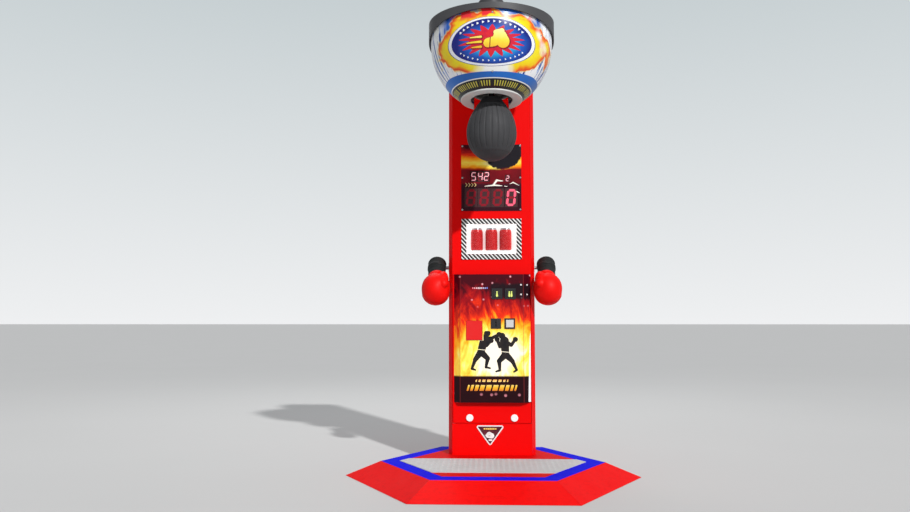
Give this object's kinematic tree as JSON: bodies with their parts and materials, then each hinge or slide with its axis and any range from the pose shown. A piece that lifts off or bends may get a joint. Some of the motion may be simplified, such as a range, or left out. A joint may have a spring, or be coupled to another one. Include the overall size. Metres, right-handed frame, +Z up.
{
  "type": "boxing punch machine",
  "caption": "Arcade strength tester: hexagonal step platform, tall cabinet with coin door and score display, domed head with a hanging punch ball.",
  "frame": {"origin": "centre of the hexagonal platform, on the floor", "axes": "+Z up, the front with the coin door and the ball faces -Y, +X to the right of a player facing it"},
  "size_m": [1.4798, 1.2818, 2.37],
  "materials": {
    "red_paint": "gloss",
    "blue_paint": "gloss",
    "deck_steel": "satin",
    "tread_metal": "chequered, brushed",
    "frame_steel": "satin black",
    "foot_rubber": "matte",
    "galvanised": "satin",
    "bright_steel": "machined",
    "bearing_steel": "polished",
    "score_print": "printed polycarbonate",
    "digit_housing": "smoked",
    "hazard_frame": "black and white diagonal stripes",
    "clear_window": "clear",
    "white_plastic": "gloss",
    "can_metal": "lacquered red",
    "badge_print": "printed",
    "panel_print": "printed flames",
    "black_plastic": "satin",
    "button_lens": "lit lens",
    "reject_grey": "light grey",
    "flap_red": "gloss",
    "bowl_print": "printed flames on moulded shell",
    "lip_grey": "light grey",
    "rim_grey": "dark grey",
    "ball_leather": "dark grey ribbed",
    "ball_foam": "foam",
    "glove_red": "gloss padded",
    "board_green": "solder mask",
    "buffer_rubber": "matte"
  },
  "bodies": {
    "machine": {"platform_ramps": "red_paint", "platform_border": "blue_paint", "platform_deck": "deck_steel", "tread_plate": "tread_metal", "base_tubes": "frame_steel", "levelling_feet": "foot_rubber", "column_side_left": "red_paint", "column_side_right": "red_paint", "column_frame": "frame_steel", "column_front_upper": "red_paint", "column_front_lower": "red_paint", "column_top": "red_paint", "column_back_upper": "red_paint", "column_back_lower": "red_paint", "door_pivots": "galvanised", "power_inlet": "black_plastic", "power_supply": "galvanised", "control_board": "board_green", "cash_box": "galvanised", "score_panel": "score_print", "digit_display": "digit_housing", "panel_screws": "bright_steel", "prize_frame": "hazard_frame", "prize_window": "clear_window", "prize_box": "white_plastic", "prize_cans": "can_metal", "badge": "badge_print", "dome_shell": "bowl_print", "mouth_ring": "lip_grey", "dome_rim": "rim_grey", "dome_lid": "rim_grey", "mechanism_cowl": "rim_grey", "neck_cover": "red_paint", "support_arm": "frame_steel", "bearing_plates": "galvanised", "pivot_bearings": "bearing_steel", "swing_buffers": "buffer_rubber", "sensor_fork": "black_plastic", "glove_left": "glove_red", "glove_right": "glove_red", "glove_brackets": "galvanised"},
    "front_door": {"front_door": "red_paint", "coin_panel": "panel_print", "panel_bezels": "black_plastic", "coin_mech": "galvanised", "return_cup": "black_plastic"},
    "start_button_left": {"start_button_left": "button_lens"},
    "start_button_right": {"start_button_right": "button_lens"},
    "reject_button": {"reject_button": "reject_grey"},
    "return_flap": {"return_flap": "flap_red"},
    "lock_left": {"lock_left": "white_plastic"},
    "lock_right": {"lock_right": "white_plastic"},
    "rear_door": {"rear_door": "red_paint"},
    "lock_rear": {"lock_rear": "white_plastic"},
    "punch_ball": {"pivot_shaft": "bright_steel", "sensor_disc": "bright_steel", "ball_arm": "frame_steel", "ball_collar": "ball_leather", "ball_core": "ball_foam", "ball_cover": "ball_leather"}
  },
  "joints": [
    {"name": "ball_swing", "type": "hinge", "parent": "machine", "child": "punch_ball", "pos_m": [0, -0.205, 2.04], "axis": [1, 0, 0], "range_deg": [-6, 25]},
    {"name": "front_door_hinge", "type": "hinge", "parent": "machine", "child": "front_door", "pos_m": [-0.203, 0.206, 0.63], "axis": [0, 0, -1], "range_deg": [0, 60]},
    {"name": "rear_door_hinge", "type": "hinge", "parent": "machine", "child": "rear_door", "pos_m": [0.219, 0.453, 0.724], "axis": [0, 0, -1], "range_deg": [0, 100]},
    {"name": "start_button_left_press", "type": "slide", "parent": "front_door", "child": "start_button_left", "axis": [0, 1, 0], "range_m": [0, 0.004], "stiffness_N_per_m": 400, "springref_m": -0.003},
    {"name": "start_button_right_press", "type": "slide", "parent": "front_door", "child": "start_button_right", "axis": [0, 1, 0], "range_m": [0, 0.004], "stiffness_N_per_m": 400, "springref_m": -0.003},
    {"name": "reject_button_press", "type": "slide", "parent": "front_door", "child": "reject_button", "axis": [0, 1, 0], "range_m": [0, 0.004], "stiffness_N_per_m": 400, "springref_m": -0.003},
    {"name": "return_flap_hinge", "type": "hinge", "parent": "front_door", "child": "return_flap", "pos_m": [-0.093, 0.176, 0.772], "axis": [1, 0, 0], "range_deg": [0, 45], "stiffness_Nm_per_rad": 0.05, "springref_deg": -28.65},
    {"name": "lock_left_turn", "type": "hinge", "parent": "front_door", "child": "lock_left", "pos_m": [-0.118, 0.2, 0.265], "axis": [0, 1, 0], "range_deg": [0, 90]},
    {"name": "lock_right_turn", "type": "hinge", "parent": "front_door", "child": "lock_right", "pos_m": [0.118, 0.2, 0.265], "axis": [0, -1, 0], "range_deg": [0, 90]},
    {"name": "lock_rear_turn", "type": "hinge", "parent": "rear_door", "child": "lock_rear", "pos_m": [0, 0.46, 0.278], "axis": [0, 1, 0], "range_deg": [0, 90]}
  ]
}
